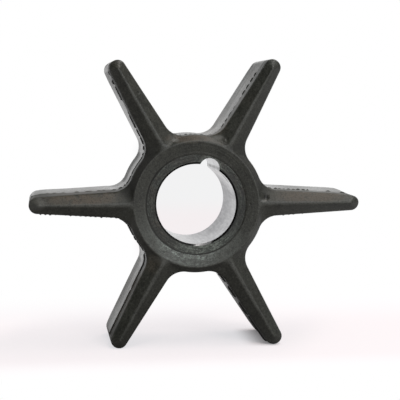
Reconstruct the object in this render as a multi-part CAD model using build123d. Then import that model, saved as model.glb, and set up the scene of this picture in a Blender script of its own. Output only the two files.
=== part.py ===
from build123d import *
import math
import os

# Rubber pump impeller: a six-vane moulding bonded to a keyed metal hub insert.
#
# Millimetres, +Z up. The impeller's axis lies along Y, with its front end towards -Y,
# and the origin is the middle of the bore. It stands on its two lower vane tips.

# ---------------------------------------------------------------- sizes: vanes
VANE_COUNT = 6
VANE_END_RADIUS = 32.65    # axis to the end of each vane
VANE_TIP_ROUND = 1.65      # full round on the end of each vane
VANE_FLANK_TAPER = 3.4     # degrees that each flank leans in towards the tip
VANE_ROOT_FILLET = 4.0     # between a vane's flank and the hub

# ------------------------------------------------------- sizes: hub and end roofs
HUB_RADIUS = 13.55         # moulded hub between the vanes
BODY_WIDTH = 17.8          # straight-sided width of hub and vanes, along the axis
ROOF_RISE = 1.4            # from the end of the straight sides up to the crest
CREST_HALF_WIDTH = 0.2     # flat along the top of each vane's roof, to one side
CREST_END_SETBACK = 2.0    # from the end of the vane back to the end of its crest
CREST_ROOT_FILLET = 0.8    # where the crest runs into the collar rim
VALLEY_RISE = 0.5          # height at which the valley beside a vane's root steepens
VALLEY_FILLET = 1.0        # tight corner of the roof at that height
COLLAR_RIM_RADIUS = 12.45  # outer edge of the raised collar rim
COLLAR_RIM_LAND = 0.25     # flat on top of the rim
COLLAR_LIP_WIDTH = 0.3     # short steep lip between the dish and the insert
COLLAR_LIP_RISE = 0.15     # height of that lip over the insert's end face

# ---------------------------------------------------------- sizes: metal insert
BORE_RADIUS = 7.85
INSERT_WALL = 1.85         # bore wall to the rubber
INSERT_RECESS = 0.55       # insert's end face below the crest
BORE_CHAMFER = 0.35        # at both mouths of the bore
KEYWAY_RADIUS = 2.0        # half-round keyway
KEYWAY_DEPTH = 1.6         # from the bore wall to the bottom of the keyway
KEYWAY_ANGLE = 69.5        # degrees, from +X towards +Z
BOND_CLEARANCE = 0.0       # the rubber is bonded to the insert, face to face

# ------------------------------------------------------------ derived from above
VANE_STEP = 360 / VANE_COUNT
HALF_BODY = BODY_WIDTH / 2
HALF_CREST = HALF_BODY + ROOF_RISE
HALF_INSERT = HALF_CREST - INSERT_RECESS
INSERT_RADIUS = BORE_RADIUS + INSERT_WALL
SEAT_RADIUS = INSERT_RADIUS + BOND_CLEARANCE
KEYWAY_CENTRE = BORE_RADIUS + KEYWAY_DEPTH - KEYWAY_RADIUS


def on_vane(along: float, across: float, turn: float, y: float) -> Vector:
    """A point given along and across a vane that is turned from +X towards +Z."""
    c = math.cos(math.radians(turn))
    s = math.sin(math.radians(turn))
    return Vector(along * c - across * s, y, along * s + across * c)


def flank_points(hub: float, fillet: float, tip_centre: float, tip: float, taper: float) -> dict:
    """Tangent points on one flank of a vane lying along +X, as (along, across)."""
    lean = math.radians(taper)
    normal = (math.sin(lean), math.cos(lean))
    offset = tip + tip_centre * math.sin(lean) + fillet
    reach = math.sqrt((hub + fillet) ** 2 - offset**2)
    centre = (
        normal[0] * offset + math.cos(lean) * reach,
        normal[1] * offset - math.sin(lean) * reach,
    )
    inward = (centre[0] / (hub + fillet), centre[1] / (hub + fillet))
    middle = (normal[0] + inward[0], normal[1] + inward[1])
    length = math.hypot(*middle)
    return {
        "tip": (tip_centre + tip * normal[0], tip * normal[1]),
        "root": (centre[0] - fillet * normal[0], centre[1] - fillet * normal[1]),
        "mid": (centre[0] - fillet * middle[0] / length, centre[1] - fillet * middle[1] / length),
        "hub": (hub * inward[0], hub * inward[1]),
    }


def star_outline(
    y: float, hub: float, fillet: float, tip_end: float, tip: float, taper: float
) -> Wire:
    """One closed star of vanes and hub at depth y: tip arcs, flanks, fillets, hub arcs."""
    points = flank_points(hub, fillet, tip_end - tip, tip, taper)
    edges = []
    for i in range(VANE_COUNT):
        turn = i * VANE_STEP
        left = {name: on_vane(a, t, turn, y) for name, (a, t) in points.items()}
        right = {name: on_vane(a, -t, turn, y) for name, (a, t) in points.items()}
        following = on_vane(points["hub"][0], -points["hub"][1], turn + VANE_STEP, y)
        between = on_vane(hub, 0, turn + VANE_STEP / 2, y)
        edges += [
            ThreePointArc(right["hub"], right["mid"], right["root"]),
            Line(right["root"], right["tip"]),
            ThreePointArc(right["tip"], on_vane(tip_end, 0, turn, y), left["tip"]),
            Line(left["tip"], left["root"]),
            ThreePointArc(left["root"], left["mid"], left["hub"]),
            ThreePointArc(left["hub"], between, following),
        ]
    return Wire(edges)


def body_outline(y: float) -> Wire:
    """Outline of the straight-sided part of the moulding."""
    return star_outline(
        y, HUB_RADIUS, VANE_ROOT_FILLET, VANE_END_RADIUS, VANE_TIP_ROUND, VANE_FLANK_TAPER
    )


def roof_outline(rise: float, fillet: float, end: int) -> Wire:
    """Outline of an end roof at a height above the straight sides; end is -1 or 1."""
    share = rise / ROOF_RISE
    return star_outline(
        end * (HALF_BODY + rise),
        HUB_RADIUS + share * (COLLAR_RIM_RADIUS - HUB_RADIUS),
        fillet,
        VANE_END_RADIUS - share * CREST_END_SETBACK,
        VANE_TIP_ROUND + share * (CREST_HALF_WIDTH - VANE_TIP_ROUND),
        VANE_FLANK_TAPER * (1 - share),
    )


def make_roof(end: int) -> list[Solid]:
    """Gabled roof over one end: slopes up to a narrow crest, with a valley at each root."""
    eaves = body_outline(end * HALF_BODY)
    valley = roof_outline(VALLEY_RISE, VALLEY_FILLET, end)
    crest = roof_outline(ROOF_RISE, CREST_ROOT_FILLET, end)
    return [
        Solid.make_loft([eaves, valley], ruled=True),
        Solid.make_loft([valley, crest], ruled=True),
    ]


def make_star() -> Part:
    """Hub and vanes, with a gabled roof over both ends."""
    straight = Solid.make_loft([body_outline(-HALF_BODY), body_outline(HALF_BODY)], ruled=True)
    return Part() + [straight, *make_roof(-1), *make_roof(1)]


def make_collar_dish() -> Part:
    """What both dished collar faces and the insert's seat take out of the moulding."""
    rim_inner = COLLAR_RIM_RADIUS - COLLAR_RIM_LAND
    lip_top = HALF_INSERT + COLLAR_LIP_RISE
    quarter = Polyline(
        (0, 0),
        (SEAT_RADIUS, 0),
        (SEAT_RADIUS, HALF_INSERT),
        (SEAT_RADIUS + COLLAR_LIP_WIDTH, lip_top),
        (rim_inner, HALF_CREST),
        (rim_inner, HALF_CREST + ROOF_RISE),
        (0, HALF_CREST + ROOF_RISE),
        close=True,
    )
    half = revolve(make_face(quarter), Axis.Y)
    return half + mirror(half, Plane.XZ)


def make_rubber_body() -> Part:
    """The whole rubber moulding."""
    return make_star() - make_collar_dish()


def make_hub_insert() -> Part:
    """Keyed metal sleeve: chamfered bore with one half-round keyway right through."""
    profile = Polyline(
        (BORE_RADIUS, -HALF_INSERT + BORE_CHAMFER),
        (BORE_RADIUS + BORE_CHAMFER, -HALF_INSERT),
        (INSERT_RADIUS, -HALF_INSERT),
        (INSERT_RADIUS, HALF_INSERT),
        (BORE_RADIUS + BORE_CHAMFER, HALF_INSERT),
        (BORE_RADIUS, HALF_INSERT - BORE_CHAMFER),
        close=True,
    )
    sleeve = revolve(make_face(profile), Axis.Y)
    keyway_axis = on_vane(KEYWAY_CENTRE, 0, KEYWAY_ANGLE, 0)
    keyway = Cylinder(KEYWAY_RADIUS, 2 * HALF_CREST)
    return sleeve - Pos(keyway_axis) * Rot(90, 0, 0) * keyway


def main() -> None:
    """Build both pieces and write one STEP file for each."""
    os.makedirs("parts", exist_ok=True)
    export_step(make_rubber_body(), "parts/rubber_body.step")
    export_step(make_hub_insert(), "parts/hub_insert.step")


if __name__ == "__main__":
    main()
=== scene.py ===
"""Looks of a rubber pump impeller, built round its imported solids.

The rubber moulding and the metal sleeve in its hub are made here as fine meshes that
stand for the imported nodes, in the same frame. Sizes are written in millimetres, and
MM turns them into metres when a mesh, a lamp or the camera is made.
"""

import logging
import math
from dataclasses import dataclass, field
from enum import Enum, IntEnum
from functools import reduce
from typing import Callable, Iterator, Optional, Sequence, Union

import bpy
import numpy as np
from mathutils import Matrix, Vector


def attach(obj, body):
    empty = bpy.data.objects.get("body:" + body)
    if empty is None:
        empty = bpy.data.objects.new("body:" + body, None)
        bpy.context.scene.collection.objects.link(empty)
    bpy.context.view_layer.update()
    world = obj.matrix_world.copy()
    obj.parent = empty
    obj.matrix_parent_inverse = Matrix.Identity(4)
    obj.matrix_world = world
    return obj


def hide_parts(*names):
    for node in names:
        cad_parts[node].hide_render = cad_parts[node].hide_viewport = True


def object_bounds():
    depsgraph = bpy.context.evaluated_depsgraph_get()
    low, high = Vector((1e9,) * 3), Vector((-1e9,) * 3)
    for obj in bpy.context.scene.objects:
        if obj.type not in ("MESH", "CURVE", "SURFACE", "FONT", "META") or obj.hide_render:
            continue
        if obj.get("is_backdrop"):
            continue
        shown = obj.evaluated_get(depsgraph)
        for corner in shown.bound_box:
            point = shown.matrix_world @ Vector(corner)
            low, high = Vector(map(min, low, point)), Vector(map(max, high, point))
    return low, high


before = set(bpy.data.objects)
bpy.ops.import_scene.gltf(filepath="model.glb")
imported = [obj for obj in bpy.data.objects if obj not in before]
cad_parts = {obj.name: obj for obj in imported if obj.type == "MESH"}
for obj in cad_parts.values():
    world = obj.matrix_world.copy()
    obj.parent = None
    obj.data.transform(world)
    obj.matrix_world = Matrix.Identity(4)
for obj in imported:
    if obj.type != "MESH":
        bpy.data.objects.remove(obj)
CAD_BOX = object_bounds()

MM = 0.001
VANE_COUNT = 6
VANE_STEP = 2 * math.pi / VANE_COUNT
ENDS = (-1, 1)
BODY = "root"
SHARP_EDGE = math.radians(40)

log = logging.getLogger("impeller")

Colour = tuple[float, float, float]
Number = Union[float, "Value"]
Amount = Union[float, np.ndarray, "Value"]
Pair = tuple[float, float]
Span = tuple[float, ...]
Rows = tuple[float, ...]


def ramp(numbers: np.ndarray, start: float, full: float) -> np.ndarray:
    """How far numbers have come from start to full, from 0 to 1."""
    return np.clip((numbers - start) / (full - start), 0, 1)


def between(low: Amount, high: Amount, share: Amount) -> Amount:
    """The number that is a share of the way from low to high."""
    return low + share * (high - low)


# --------------------------------------------------------------------------- shaders
class Value:
    """A number in a shader. Its operators add the Math nodes that work it out."""

    def __init__(self, bench: "ShaderBench", socket: bpy.types.NodeSocket) -> None:
        """Wrap one output socket.

        Args:
            bench: the bench whose tree holds the socket.
            socket: the output that carries the number.
        """
        self.bench = bench
        self.socket = socket

    def _math(self, operation: str, *terms: Number) -> "Value":
        """The result of one Math node on these terms."""
        node = self.bench.add("ShaderNodeMath", {"operation": operation}, dict(enumerate(terms)))
        return Value(self.bench, node.outputs[0])

    def __add__(self, other: Number) -> "Value":
        """self + other."""
        return self._math("ADD", self, other)

    def __radd__(self, other: Number) -> "Value":
        """other + self."""
        return self._math("ADD", other, self)

    def __sub__(self, other: Number) -> "Value":
        """self - other."""
        return self._math("SUBTRACT", self, other)

    def __rsub__(self, other: Number) -> "Value":
        """other - self."""
        return self._math("SUBTRACT", other, self)

    def __mul__(self, other: Number) -> "Value":
        """self * other."""
        return self._math("MULTIPLY", self, other)

    def __rmul__(self, other: Number) -> "Value":
        """other * self."""
        return self._math("MULTIPLY", other, self)

    def __truediv__(self, other: Number) -> "Value":
        """self / other."""
        return self._math("DIVIDE", self, other)

    def __rtruediv__(self, other: Number) -> "Value":
        """other / self."""
        return self._math("DIVIDE", other, self)

    def __abs__(self) -> "Value":
        """abs(self)."""
        return self._math("ABSOLUTE", self)

    def larger(self, other: Number) -> "Value":
        """The larger of self and other."""
        return self._math("MAXIMUM", self, other)

    def turn_from(self, other: "Value") -> "Value":
        """The angle whose tangent is self over other, in radians."""
        return self._math("ARCTAN2", self, other)

    def rise(self, low: float, high: float) -> "Value":
        """A smooth step of self.

        Args:
            low: where the step starts from 0.
            high: where it reaches 1. It may be below low, and then the step falls.

        Returns:
            A number from 0 to 1.
        """
        if low > high:
            return 1.0 - self.rise(high, low)
        node = self.bench.add(
            "ShaderNodeMapRange",
            {"interpolation_type": "SMOOTHSTEP", "clamp": True},
            {"Value": self, "From Min": low, "From Max": high},
        )
        return Value(self.bench, node.outputs["Result"])

    def within(self, span: Span) -> "Value":
        """How far self is inside a span.

        Args:
            span: where it starts and where it is full and, if it ends again, where it is
                last full and where it ends.

        Returns:
            A number from 0 to 1.
        """
        inside = self.rise(*span[:2])
        return inside * self.rise(*span[:1:-1]) if len(span) > 2 else inside

    def lifted(self, least: float) -> "Value":
        """Self with its 0 raised to least, and its 1 kept."""
        return between(least, 1.0, self)


@dataclass(frozen=True)
class Place:
    """Where the shaded point is, in millimetres from the middle of the bore."""

    spot: bpy.types.NodeSocket
    x: Value
    y: Value
    z: Value
    radius: Value
    turn: Value


@dataclass(frozen=True)
class Side:
    """A mark on one side of the bore: its direction, where it starts and is full, its strength.

    Where it starts and is full is the cosine of a point's angle from the direction.
    """

    degrees: float
    start: float = 0.0
    full: float = 1.0
    strength: float = 1.0

    def mask(self, place: Place) -> Value:
        """How strong the mark is in a shader.

        Args:
            place: the shaded point.

        Returns:
            A number from 0 to the mark's strength.
        """
        angle = math.radians(self.degrees)
        near = (place.x * math.cos(angle) + place.z * math.sin(angle)) / place.radius
        return near.rise(self.start, self.full) * self.strength

    def share(self, points: np.ndarray) -> np.ndarray:
        """How strong the mark is at each point of a mesh, from 0 to its strength."""
        near = np.cos(np.arctan2(points[:, 2], points[:, 0]) - math.radians(self.degrees))
        return ramp(near, self.start, self.full) * self.strength


@dataclass(frozen=True)
class Grain:
    """A soft random pattern, finer where its scale is larger and its details are more."""

    scale: float
    detail: float = 2.0
    roughness: float = 0.5
    distortion: float = 0.0


class ShaderBench:
    """Adds nodes to the node tree of one material or world."""

    def __init__(self, owner: Union[bpy.types.Material, bpy.types.World]) -> None:
        """Empty the owner's node tree and work on it.

        Args:
            owner: the material or world that is given its nodes.
        """
        owner.use_nodes = True
        self.tree = owner.node_tree
        self.tree.nodes.clear()

    def add(
        self,
        kind: str,
        settings: Optional[dict[str, object]] = None,
        inputs: Optional[dict[Union[str, int], object]] = None,
    ) -> bpy.types.Node:
        """Add one node.

        Args:
            kind: the node's type.
            settings: its own settings, which are set first.
            inputs: a number, colour, vector, socket or Value for each input named.

        Returns:
            The new node.
        """
        node = self.tree.nodes.new(kind)
        for name, setting in (settings or {}).items():
            setattr(node, name, setting)
        for name, given in (inputs or {}).items():
            socket = node.inputs[name]
            if isinstance(given, Value):
                given = given.socket
            if isinstance(given, bpy.types.NodeSocket):
                self.tree.links.new(given, socket)
            else:
                socket.default_value = given
        return node

    def value(self, node: bpy.types.Node, output: Union[str, int] = 0) -> Value:
        """The number that comes out of a node."""
        return Value(self, node.outputs[output])

    def place(self) -> Place:
        """Find the shaded point.

        Returns:
            The point, in millimetres from the middle of the bore.
        """
        where = self.add("ShaderNodeTexCoord").outputs["Object"]
        scaled = self.add(
            "ShaderNodeVectorMath", {"operation": "SCALE"}, {0: where, "Scale": 1 / MM}
        )
        spot = scaled.outputs[0]
        x, y, z = self.parts(spot)
        radius = self.apart(self.vector(x, 0.0, z), (0.0, 0.0, 0.0))
        return Place(spot, x, y, z, radius, z.turn_from(x))

    def parts(self, vector: bpy.types.NodeSocket) -> tuple[Value, Value, Value]:
        """The X, Y and Z of a vector."""
        node = self.add("ShaderNodeSeparateXYZ", None, {0: vector})
        return self.value(node, 0), self.value(node, 1), self.value(node, 2)

    def vector(self, x: Number, y: Number, z: Number) -> bpy.types.NodeSocket:
        """A vector of three numbers."""
        return self.add("ShaderNodeCombineXYZ", None, {0: x, 1: y, 2: z}).outputs[0]

    def apart(self, vector: bpy.types.NodeSocket, spot: Sequence[float]) -> Value:
        """Measure how far a vector is from a fixed spot.

        Args:
            vector: the vector.
            spot: the X, Y and Z of the spot.

        Returns:
            The distance, in the vector's units.
        """
        node = self.add(
            "ShaderNodeVectorMath", {"operation": "DISTANCE"}, {0: vector, 1: tuple(spot)}
        )
        return self.value(node, "Value")

    def beside(self, place: Place, x: float, z: float) -> Value:
        """How far the shaded point is from a line along the bore at this x and z."""
        return self.apart(self.vector(place.x, 0.0, place.z), (x, 0.0, z))

    def noise(self, vector: bpy.types.NodeSocket, grain: Grain) -> Value:
        """Soft random noise.

        Args:
            vector: where it is read.
            grain: its pattern.

        Returns:
            A number about 0.5, and nearly always from 0.2 to 0.8.
        """
        node = self.add(
            "ShaderNodeTexNoise",
            None,
            {
                "Vector": vector,
                "Scale": grain.scale,
                "Detail": grain.detail,
                "Roughness": grain.roughness,
                "Distortion": grain.distortion,
            },
        )
        return self.value(node, 0)

    def mix(
        self,
        share: Number,
        first: Union[Colour, bpy.types.NodeSocket],
        second: Union[Colour, bpy.types.NodeSocket],
    ) -> bpy.types.NodeSocket:
        """Blend two colours.

        Args:
            share: how much of the second colour there is, from 0 to 1.
            first: the colour at 0.
            second: the colour at 1.

        Returns:
            The colour that comes out.
        """
        given = [(*c, 1.0) if isinstance(c, tuple) else c for c in (first, second)]
        node = self.add(
            "ShaderNodeMix",
            {"data_type": "RGBA", "clamp_factor": True},
            {0: share, 6: given[0], 7: given[1]},
        )
        return node.outputs[2]

    def mark(self, name: str) -> Value:
        """A number that the mesh carries at each point."""
        return self.value(self.add("ShaderNodeAttribute", {"attribute_name": name}), "Fac")

    def bump(
        self,
        height: Value,
        distance: float,
        strength: float,
        below: Optional[bpy.types.NodeSocket] = None,
    ) -> bpy.types.NodeSocket:
        """Turn a height into a shading normal.

        Args:
            height: the height, where 1 stands distance above 0.
            distance: the height of 1, in millimetres.
            strength: how much of the bump shows.
            below: the normal of a bump that lies under this one.

        Returns:
            The normal.
        """
        inputs = {"Height": height, "Distance": distance * MM, "Strength": strength}
        if below is not None:
            inputs["Normal"] = below
        return self.add("ShaderNodeBump", None, inputs).outputs["Normal"]

    def surface(self, constants: dict[str, object], varying: dict[str, object]) -> None:
        """End a material in one Principled shader.

        Args:
            constants: inputs that are the same all over.
            varying: inputs that change over the surface.
        """
        shader = self.add("ShaderNodeBsdfPrincipled", None, {**constants, **varying})
        self.add("ShaderNodeOutputMaterial", None, {"Surface": shader.outputs[0]})


# -------------------------------------------------------------------------- finishes
@dataclass(frozen=True)
class Finish:
    """What every finish has: a name, and a way to be painted."""

    name: str

    def material(self) -> bpy.types.Material:
        """Build the material.

        Returns:
            The finished material.
        """
        made = bpy.data.materials.new(self.name)
        bench = ShaderBench(made)
        self.paint(bench, bench.place())
        return made

    def paint(self, bench: ShaderBench, place: Place) -> None:
        """Add this finish's own nodes.

        Args:
            bench: where nodes are added.
            place: the shaded point.
        """
        raise NotImplementedError


@dataclass(frozen=True)
class Blemish:
    """A small pit or a fleck in the rubber."""

    x: float
    z: float
    radius: float
    depth: float


@dataclass(frozen=True)
class Patch:
    """A soft patch of another colour: its middle, and its reach both ways."""

    x: float
    z: float
    wide: float
    high: float
    strength: float


class Facing(Enum):
    """Which way a flank faces, as a span of how far it faces up."""

    ANY = ()
    LEVEL = (0.85, 0.98)
    SLANTED = (0.2, 0.4, 0.6, 0.8)
    HANGING = (-0.2, -0.4)


@dataclass(frozen=True)
class Sheen:
    """A stretch of the flanks that shines more than the rest or, below 0, less."""

    shine: float
    facing: Facing = Facing.ANY
    x: Span = ()
    y: Span = ()
    z: Span = ()
    radius: Span = ()

    def added(self, place: Place, normal_up: Value) -> Value:
        """How much shine this stretch adds.

        Args:
            place: the shaded point.
            normal_up: how far the surface faces up there.

        Returns:
            The shine inside the stretch, and 0 outside.
        """
        spans = (
            (normal_up, self.facing.value),
            (place.x, self.x),
            (place.y, self.y),
            (place.z, self.z),
            (place.radius, self.radius),
        )
        return math.prod((number.within(span) for number, span in spans if span), start=self.shine)


@dataclass(frozen=True)
class RubberPoint:
    """What the rubber's layers read at the shaded point: its grains, its part, its wear and its
    painted highlight and shade.
    """

    place: Place
    mottle: Value
    grain: Value
    speck: Value
    arcs: Value
    normal_up: Value
    collar: Value
    flank: Value
    pits: Value
    wear_and_highlight: Value
    dark_and_painted_shade: Value


@dataclass(frozen=True)
class RubberFinish(Finish):
    """Moulded dark grey rubber: satin, mottled, paler on crests with wear and on scuffed collars,
    with painted highlights and painted shade.
    """

    name: str = "moulded rubber"
    dark: Colour = (0.0205, 0.0210, 0.0160)
    pale: Colour = (0.0345, 0.0350, 0.0275)
    warm: Colour = (0.0820, 0.0630, 0.0430)
    green: Colour = (0.0330, 0.0370, 0.0290)
    dust: Colour = (0.0445, 0.0430, 0.0325)
    # pale tone of wear, grains and streaks, and of painted highlights
    wear_and_highlight: Colour = (0.0640, 0.0650, 0.0570)
    # pale tone of rubbing marks and of painted light
    rubbed_and_lit: Colour = (0.1500, 0.1500, 0.1400)
    haze: Colour = (0.1150, 0.1270, 0.1150)
    scuffed: Colour = (0.4000, 0.4700, 0.4300)
    # near-black of dark grains and of painted shade
    dark_and_painted_shade: Colour = (0.0060, 0.0060, 0.0055)
    roughness: float = 0.465
    mottle: Grain = Grain(0.30, 4.0, 0.62, 0.6)
    grain: Grain = Grain(1.9, 3.0, 0.7)
    speck: Grain = Grain(4.5, 1.0)
    arcs: Grain = Grain(1.0, 3.0, 0.65)
    cloud: Grain = Grain(0.11, 2.0, 0.5, 0.3)
    gloss_streak: Grain = Grain(1.0, 2.0, 0.6)
    gloss_grain: Grain = Grain(1.7, 2.0, 0.6)
    haze_patch: Grain = Grain(0.8, 3.0, 0.6, 0.4)
    scuff_streak: Grain = Grain(1.0, 3.0, 0.7, 0.5)
    flank_depth: Pair = (9.1, 8.7)
    collar: Span = (9.75, 10.0, 12.20, 12.40)
    collar_depth: Pair = (9.2, 9.5)
    inner_collar: Pair = (11.3, 10.4)
    # painted shade on the collar's right-hand side
    shaded_side: Side = Side(-5, 0.3, 1.0, 0.6)
    hazy_side: Side = Side(-100, 0.15, 0.95, 0.9)
    scuffed_side: Side = Side(-104, 0.78, 0.97)
    dusty_from: Pair = (0.12, 0.6)
    blemishes: tuple[Blemish, ...] = (
        Blemish(13.75, 1.25, 0.85, 0.30),
        Blemish(6.0, 12.55, 0.45, 0.13),
        Blemish(-11.1, 21.7, 0.42, 0.09),
        Blemish(10.55, -0.05, 0.28, 0.10),
    )
    stains: tuple[Patch, ...] = (
        Patch(-1.5, 12.9, 5.5, 1.2, 0.9),
        Patch(-22.3, 1.6, 9.0, 2.1, 1.0),
        Patch(23.0, 1.3, 8.5, 1.9, 0.8),
        Patch(3.0, 14.6, 4.0, 1.6, 0.6),
        Patch(-8.6, -11.6, 2.2, 2.2, 0.35),
    )
    flank_stains: tuple[Patch, ...] = (
        Patch(-12.5, -19.5, 7.0, 11.0, 0.7),
        Patch(-21.0, 2.2, 9.0, 1.6, 0.4),
        Patch(4.5, 15.5, 4.0, 3.0, 0.8),
    )
    # pale patches: rubbing marks, and painted light on the right vane's lower roof and the hub
    # below it, which face down, and on the rim at the lower left
    rubs_and_painted_light: tuple[Patch, ...] = (
        Patch(13.25, 0.50, 0.75, 0.32, 0.7),
        Patch(22.0, -1.6, 10.0, 1.5, 0.10),
        Patch(11.3, -6.6, 1.8, 2.4, 0.12),
        Patch(-6.2, -10.7, 2.4, 1.7, 0.13),
        Patch(-4.0, 12.5, 0.9, 0.45, 0.6),
        Patch(4.5, 13.0, 1.2, 0.6, 0.4),
        Patch(-31.0, 0.4, 2.2, 1.6, 0.28),
    )
    sheens: tuple[Sheen, ...] = (
        # behind the parting line, and again further back on all but the slanted flanks
        Sheen(0.13, y=(-5.6, -4.4)),
        Sheen(0.04, y=(-3.0, 3.0)),
        Sheen(-0.04, Facing.SLANTED, y=(-3.0, 3.0)),
        # the back half of the slanted flanks, 0.35 less so at the right
        Sheen(-0.11, Facing.SLANTED, y=(-2.0, 6.0)),
        Sheen(0.35 * 0.11, Facing.SLANTED, x=(0.0, 8.0), y=(-2.0, 6.0)),
        # the slanted flanks at the left: inwards at the back, outwards at the front
        Sheen(-0.06, Facing.SLANTED, x=(-3.0, -8.0), y=(0.0, 3.0), radius=(27.0, 24.0)),
        Sheen(-0.20, Facing.SLANTED, x=(-3.0, -8.0), y=(-4.5, -5.5), radius=(16.0, 20.0)),
        # the roots of the vanes, and the hub between them
        Sheen(0.04, y=(-5.0, -3.0), radius=(15.0, 16.5, 17.0, 21.0)),
        Sheen(0.08, y=(-5.0, -3.5, 1.0, 5.0), radius=(17.5, 15.5)),
        Sheen(-0.04, radius=(16.5, 15.0)),
        # the tops of the two level vanes
        Sheen(0.04, Facing.LEVEL, x=(20.0, 25.0, 27.0, 31.0)),
        Sheen(-0.08, Facing.LEVEL, x=(-14.0, -17.0), y=(-4.7, -5.3)),
        Sheen(-0.05, Facing.LEVEL, x=(-28.5, -30.5)),
        # the ends of the vanes: the right-hand ones, and the front of all but those
        Sheen(-0.08, Facing.SLANTED, x=(6.0, 14.0), radius=(25.0, 30.0)),
        Sheen(-0.07, y=(-4.5, -5.5), radius=(26.0, 31.0)),
        Sheen(0.07, Facing.SLANTED, x=(0.0, 8.0), y=(-4.5, -5.5), radius=(26.0, 31.0)),
        # the flanks that face down
        Sheen(-0.12, Facing.HANGING, y=(-5.0, -3.0), radius=(23.0, 29.0)),
        Sheen(-0.20, Facing.HANGING, y=(-4.7, -5.3), z=(0.0, 4.0), radius=(18.5, 20.5)),
        Sheen(-0.06, Facing.HANGING, z=(0.0, -4.0)),
    )

    def paint(self, bench: ShaderBench, place: Place) -> None:
        """Add the nodes of the rubber.

        Args:
            bench: where nodes are added.
            place: the shaded point.
        """
        at = self._read(bench, place)
        colour = self._base(bench, at)
        colour = bench.mix(at.collar * at.arcs.rise(0.5, 0.75) * 0.5, colour, self.wear_and_highlight)
        colour = self._scuffs(bench, at, colour)
        colour = self._speckle(bench, at, colour)
        # pale rubbing marks, and painted light where faces hang down and on the rim at the lower
        # left
        colour = bench.mix(self._patches(place, self.rubs_and_painted_light), colour, self.rubbed_and_lit)
        # painted highlight: a pale ring round each pit's rim
        colour = bench.mix(at.pits.within((0.02, 0.2, 0.2, 0.4)) * 0.25, colour, self.wear_and_highlight)
        # painted shade: dark pit bottoms, and the mesh's painted shade on the flash's cut faces, at
        # the sleeve's seat and in the hub's bays
        colour = bench.mix(at.pits.rise(0.3, 0.8).larger(at.dark_and_painted_shade) * 0.85, colour, self.dark_and_painted_shade)

        relief = bench.bump(at.grain + 0.3 * at.speck, 0.045, 0.8)
        relief = bench.bump(at.arcs * at.collar, 0.05, 0.8, relief)
        relief = bench.bump(at.mottle, 0.10, 0.5, relief)
        relief = bench.bump(1.0 - at.pits, 0.30, 1.0, relief)

        roughness = self.roughness + 0.2 * (at.grain - 0.5) + 0.3 * at.dark_and_painted_shade
        roughness = roughness + (at.mottle - 0.5) * (0.25 - 0.15 * at.flank)
        roughness = roughness - at.flank * self._polish(bench, at)
        bench.surface(
            {"Specular IOR Level": 0.5},
            {"Base Color": colour, "Roughness": roughness, "Normal": relief},
        )

    def _read(self, bench: ShaderBench, place: Place) -> RubberPoint:
        """Find what the layers read.

        Args:
            bench: where nodes are added.
            place: the shaded point.

        Returns:
            The grains, parts and wear at that point.
        """
        along_arcs = bench.vector(place.radius * 3.4, place.turn * 1.6, place.y * 0.2)
        return RubberPoint(
            place=place,
            mottle=bench.noise(place.spot, self.mottle),
            grain=bench.noise(place.spot, self.grain),
            speck=bench.noise(place.spot, self.speck),
            arcs=bench.noise(along_arcs, self.arcs),
            normal_up=bench.parts(bench.add("ShaderNodeNewGeometry").outputs["Normal"])[2],
            collar=place.radius.within(self.collar) * abs(place.y).rise(*self.collar_depth),
            flank=abs(place.y).rise(*self.flank_depth),
            pits=self._pits(bench, place),
            wear_and_highlight=bench.mark("wear_and_highlight"),
            dark_and_painted_shade=bench.mark("dark_and_painted_shade"),
        )

    def _base(self, bench: ShaderBench, at: RubberPoint) -> bpy.types.NodeSocket:
        """The rubber's colour: its own tone, dust on what faces up and stains, with painted shade
        on the collar's right-hand side, and wear and painted highlights where the mesh marks them.

        Args:
            bench: where nodes are added.
            at: what is read at the shaded point.

        Returns:
            The colour.
        """
        cloud = bench.noise(at.place.spot, self.cloud)
        colour = bench.mix(at.mottle.rise(0.32, 0.70), self.dark, self.pale)
        # painted shade: the collar is darker on its right-hand side
        colour = bench.mix(at.collar * self.shaded_side.mask(at.place), colour, self.dark)
        dusty = bench.mix(cloud.rise(0.45, 0.55), self.green, self.dust)
        facing_up = at.normal_up.rise(*self.dusty_from)
        colour = bench.mix(facing_up * at.mottle.rise(0.3, 0.6).lifted(0.35), colour, dusty)
        stained = self._patches(at.place, self.stains) * (1.0 - at.flank)
        stained = stained + self._patches(at.place, self.flank_stains) * at.flank
        colour = bench.mix(stained * at.mottle.rise(0.30, 0.52), colour, self.warm)
        # wear on crests and rims, and painted highlights on the rim and lip, as the mesh marks them
        return bench.mix(at.wear_and_highlight * at.mottle.rise(0.3, 0.65).lifted(0.35), colour, self.wear_and_highlight)

    def _speckle(
        self, bench: ShaderBench, at: RubberPoint, colour: bpy.types.NodeSocket
    ) -> bpy.types.NodeSocket:
        """The colour with pale and dark grains over it.

        Args:
            bench: where nodes are added.
            at: what is read at the shaded point.
            colour: what lies under the grains.

        Returns:
            The colour.
        """
        for noise, span, strength, tone in (
            (at.grain, (0.52, 0.70), 0.60, self.wear_and_highlight),
            (at.grain, (0.48, 0.30), 0.75, self.dark_and_painted_shade),
            (at.speck, (0.50, 0.68), 0.32, self.wear_and_highlight),
            (at.speck, (0.50, 0.34), 0.50, self.dark_and_painted_shade),
        ):
            colour = bench.mix(noise.rise(*span) * strength, colour, tone)
        return colour

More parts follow.
